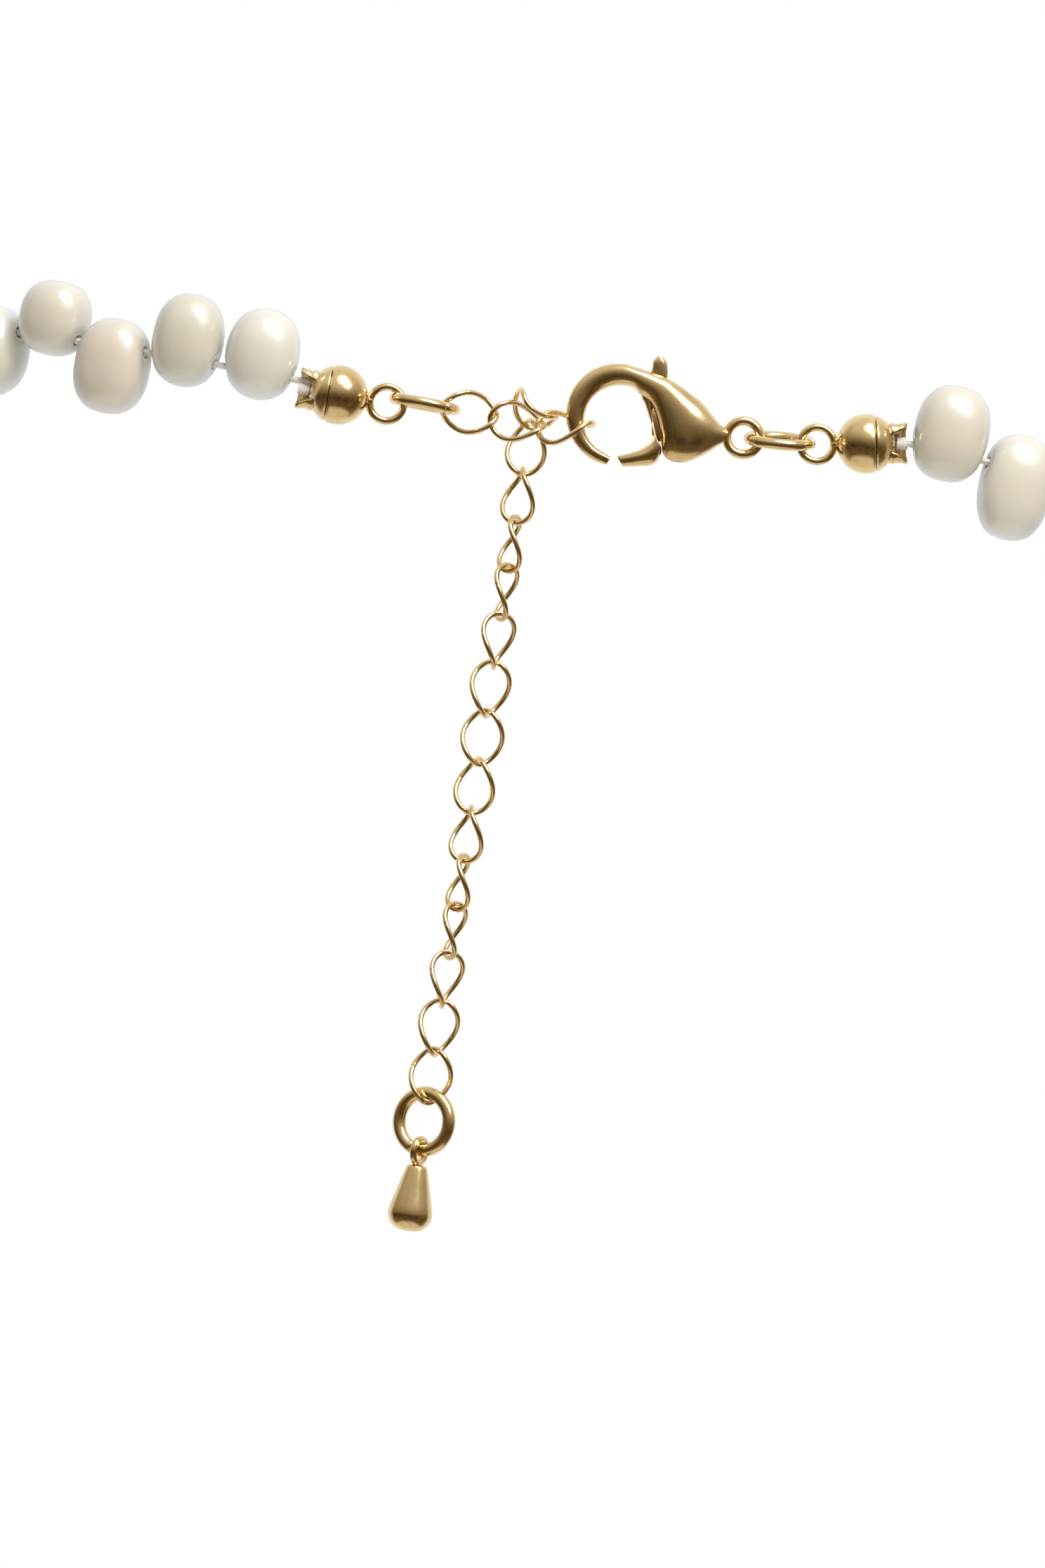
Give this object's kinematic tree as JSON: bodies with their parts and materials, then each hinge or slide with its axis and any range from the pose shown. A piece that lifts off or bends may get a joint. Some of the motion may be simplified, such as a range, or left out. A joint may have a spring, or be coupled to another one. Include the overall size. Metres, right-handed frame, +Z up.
{
  "type": "necklace",
  "caption": "Strand of potato pearls on a thread, closed at the nape by gold bead tips, jump rings and a lobster clasp hooked into a hanging extender chain with a drop.",
  "frame": {"origin": "the nape point of the wearer's neck, midway between the two bead tips at the closure's level", "axes": "+X from the wearer's left shoulder to the right one as seen from behind (the picture's right), +Y from the nape to the throat, +Z up"},
  "size_m": [0.1255, 0.1171, 0.1177],
  "materials": {
    "gold": "polished gold plate",
    "pearl": "nacre lustre",
    "silk": "white silk",
    "spring_steel": "spring steel"
  },
  "bodies": {
    "nape_strand": {"bead_tip_left": "gold", "bead_tip_right": "gold", "tip_cover_left": "gold", "tip_cover_right": "gold", "end_knot_left": "silk", "end_knot_right": "silk", "nape_thread_left": "silk", "nape_thread_right": "silk", "nape_pearls_left": "pearl", "nape_pearls_right": "pearl"},
    "shoulder_strand": {"shoulder_pearls_left": "pearl", "shoulder_pearls_right": "pearl", "shoulder_thread_left": "silk", "shoulder_thread_right": "silk"},
    "side_strand": {"side_pearls_left": "pearl", "side_pearls_right": "pearl", "side_thread_left": "silk", "side_thread_right": "silk"},
    "front_strand": {"front_pearls": "pearl", "front_thread": "silk"},
    "clasp": {"clasp_body": "gold", "clasp_rivet": "gold", "clasp_spring": "spring_steel"},
    "clasp_lever": {"clasp_lever": "gold"},
    "jump_ring_left": {"jump_ring_left": "gold"},
    "jump_ring_right": {"jump_ring_right": "gold"},
    "link_01": {"extender_link_01": "gold"},
    "link_02": {"extender_link_02": "gold"},
    "link_03": {"extender_link_03": "gold"},
    "link_04": {"extender_link_04": "gold"},
    "link_05": {"extender_link_05": "gold"},
    "link_06": {"extender_link_06": "gold"},
    "link_07": {"extender_link_07": "gold"},
    "link_08": {"extender_link_08": "gold"},
    "link_09": {"extender_link_09": "gold"},
    "link_10": {"extender_link_10": "gold"},
    "link_11": {"extender_link_11": "gold"},
    "link_12": {"extender_link_12": "gold"},
    "link_13": {"extender_link_13": "gold"},
    "link_14": {"extender_link_14": "gold"},
    "link_15": {"extender_link_15": "gold"},
    "link_16": {"extender_link_16": "gold"},
    "link_17": {"extender_link_17": "gold"},
    "link_18": {"extender_link_18": "gold"},
    "end_ring": {"extender_end_ring": "gold"},
    "drop": {"extender_drop": "gold"},
    "pearl_left_1": {"pearl_left_1": "pearl"},
    "pearl_left_2": {"pearl_left_2": "pearl"},
    "pearl_left_3": {"pearl_left_3": "pearl"},
    "pearl_left_4": {"pearl_left_4": "pearl"},
    "pearl_right_1": {"pearl_right_1": "pearl"},
    "pearl_right_2": {"pearl_right_2": "pearl"},
    "pearl_right_3": {"pearl_right_3": "pearl"},
    "pearl_right_4": {"pearl_right_4": "pearl"}
  },
  "joints": [
    {"name": "lever_press", "type": "hinge", "parent": "clasp", "child": "clasp_lever", "pos_m": [0.00437, 0, 0.0009], "axis": [0, 1, 0], "range_deg": [0, 25], "stiffness_Nm_per_rad": 0.002},
    {"name": "clasp_roll", "type": "hinge", "parent": "jump_ring_right", "child": "clasp", "pos_m": [0.00882, 0, 0.00062], "axis": [1, 0, 0], "range_deg": [-8, 8]},
    {"name": "right_ring_roll", "type": "hinge", "parent": "nape_strand", "child": "jump_ring_right", "pos_m": [0.01107, 0, 0.00077], "axis": [-1, 0, 0], "range_deg": [-8, 8]},
    {"name": "left_ring_roll", "type": "hinge", "parent": "nape_strand", "child": "jump_ring_left", "pos_m": [-0.01103, 0, -0.00029], "axis": [1, 0, 0], "range_deg": [-10, 10]},
    {"name": "link_01_roll", "type": "hinge", "parent": "jump_ring_left", "child": "link_01", "pos_m": [-0.00824, 0, -0.00039], "axis": [-1, 0, 0], "range_deg": [-10, 10]},
    {"name": "link_02_roll", "type": "hinge", "parent": "link_01", "child": "link_02", "pos_m": [-0.0052, 0, -0.0005], "axis": [1, 0, 0], "range_deg": [-6, 6]},
    {"name": "link_03_roll", "type": "hinge", "parent": "link_02", "child": "link_03", "pos_m": [-0.00221, 0, -0.00018], "axis": [-1, 0, 0], "range_deg": [-5, 5]},
    {"name": "link_04_tip", "type": "hinge", "parent": "link_03", "child": "link_04", "pos_m": [-0.00392, 0, -0.00036], "axis": [0, 0, 1], "range_deg": [-4, 4]},
    {"name": "link_05_swing", "type": "hinge", "parent": "link_04", "child": "link_05", "pos_m": [-0.0044, 0.00146, -0.00022], "axis": [-0.3289, 0.9444, 0], "range_deg": [-20, 20]},
    {"name": "link_06_swing", "type": "hinge", "parent": "link_05", "child": "link_06", "pos_m": [-0.0044, 0.00146, -0.00326], "axis": [-0.1132, -0.9936, 0], "range_deg": [-30, 30]},
    {"name": "link_07_swing", "type": "hinge", "parent": "link_06", "child": "link_07", "pos_m": [-0.0044, 0.00146, -0.0063], "axis": [0.5329, 0.8462, 0], "range_deg": [-30, 30]},
    {"name": "link_08_swing", "type": "hinge", "parent": "link_07", "child": "link_08", "pos_m": [-0.0044, 0.00146, -0.00934], "axis": [-0.8471, -0.5314, 0], "range_deg": [-30, 30]},
    {"name": "link_09_swing", "type": "hinge", "parent": "link_08", "child": "link_09", "pos_m": [-0.0044, 0.00146, -0.01238], "axis": [0.9938, 0.1115, 0], "range_deg": [-30, 30]},
    {"name": "link_10_swing", "type": "hinge", "parent": "link_09", "child": "link_10", "pos_m": [-0.0044, 0.00146, -0.01542], "axis": [-0.9438, 0.3305, 0], "range_deg": [-30, 30]},
    {"name": "link_11_swing", "type": "hinge", "parent": "link_10", "child": "link_11", "pos_m": [-0.0044, 0.00146, -0.01846], "axis": [0.7071, -0.7071, 0], "range_deg": [-30, 30]},
    {"name": "link_12_swing", "type": "hinge", "parent": "link_11", "child": "link_12", "pos_m": [-0.0044, 0.00146, -0.0215], "axis": [-0.3305, 0.9438, 0], "range_deg": [-30, 30]},
    {"name": "link_13_swing", "type": "hinge", "parent": "link_12", "child": "link_13", "pos_m": [-0.0044, 0.00146, -0.02454], "axis": [-0.1115, -0.9938, 0], "range_deg": [-30, 30]},
    {"name": "link_14_swing", "type": "hinge", "parent": "link_13", "child": "link_14", "pos_m": [-0.0044, 0.00146, -0.02758], "axis": [0.5314, 0.8471, 0], "range_deg": [-30, 30]},
    {"name": "link_15_swing", "type": "hinge", "parent": "link_14", "child": "link_15", "pos_m": [-0.0044, 0.00146, -0.03062], "axis": [-0.8462, -0.5329, 0], "range_deg": [-30, 30]},
    {"name": "link_16_swing", "type": "hinge", "parent": "link_15", "child": "link_16", "pos_m": [-0.0044, 0.00146, -0.03366], "axis": [0.9936, 0.1132, 0], "range_deg": [-30, 30]},
    {"name": "link_17_swing", "type": "hinge", "parent": "link_16", "child": "link_17", "pos_m": [-0.0044, 0.00146, -0.0367], "axis": [-0.9444, 0.3289, 0], "range_deg": [-30, 30]},
    {"name": "link_18_swing", "type": "hinge", "parent": "link_17", "child": "link_18", "pos_m": [-0.0044, 0.00146, -0.03974], "axis": [0.7083, -0.7059, 0], "range_deg": [-30, 30]},
    {"name": "end_ring_swing", "type": "hinge", "parent": "link_18", "child": "end_ring", "pos_m": [-0.0044, 0.00146, -0.04253], "axis": [0.866, -0.5, 0], "range_deg": [-30, 30]},
    {"name": "drop_swing", "type": "hinge", "parent": "end_ring", "child": "drop", "pos_m": [-0.0044, 0.00146, -0.04543], "axis": [0.5, 0.866, 0], "range_deg": [-30, 30]},
    {"name": "shoulder_lift", "type": "hinge", "parent": "nape_strand", "child": "shoulder_strand", "pos_m": [0, 0.03185, -0.01582], "axis": [1, 0, 0], "range_deg": [0, 10]},
    {"name": "side_lift", "type": "hinge", "parent": "shoulder_strand", "child": "side_strand", "pos_m": [0, 0.06446, -0.04948], "axis": [1, 0, 0], "range_deg": [0, 10]},
    {"name": "front_lift", "type": "hinge", "parent": "side_strand", "child": "front_strand", "pos_m": [0, 0.09309, -0.08378], "axis": [1, 0, 0], "range_deg": [0, 10]},
    {"name": "pearl_left_1_spin", "type": "hinge", "parent": "nape_strand", "child": "pearl_left_1", "pos_m": [-0.0215, 0.0002, 0.00009], "axis": [-0.9958, 0.0818, 0.0407], "continuous": true},
    {"name": "pearl_left_2_spin", "type": "hinge", "parent": "nape_strand", "child": "pearl_left_2", "pos_m": [-0.02621, 0.00095, 0.00026], "axis": [-0.9711, 0.2364, 0.0336], "continuous": true},
    {"name": "pearl_left_3_spin", "type": "hinge", "parent": "nape_strand", "child": "pearl_left_3", "pos_m": [-0.03065, 0.00238, 0.0004], "axis": [-0.9267, 0.3749, 0.0267], "continuous": true},
    {"name": "pearl_left_4_spin", "type": "hinge", "parent": "nape_strand", "child": "pearl_left_4", "pos_m": [-0.03475, 0.00436, 0.00051], "axis": [-0.8691, 0.4942, 0.0193], "continuous": true},
    {"name": "pearl_right_1_spin", "type": "hinge", "parent": "nape_strand", "child": "pearl_right_1", "pos_m": [0.02145, 0.00019, 0.00162], "axis": [0.9944, 0.0801, -0.0694], "continuous": true},
    {"name": "pearl_right_2_spin", "type": "hinge", "parent": "nape_strand", "child": "pearl_right_2", "pos_m": [0.02604, 0.00091, 0.00132], "axis": [0.9713, 0.2306, -0.0577], "continuous": true},
    {"name": "pearl_right_3_spin", "type": "hinge", "parent": "nape_strand", "child": "pearl_right_3", "pos_m": [0.03036, 0.00227, 0.00108], "axis": [0.9295, 0.366, -0.0463], "continuous": true},
    {"name": "pearl_right_4_spin", "type": "hinge", "parent": "nape_strand", "child": "pearl_right_4", "pos_m": [0.03456, 0.00426, 0.00089], "axis": [0.8717, 0.4888, -0.035], "continuous": true}
  ]
}
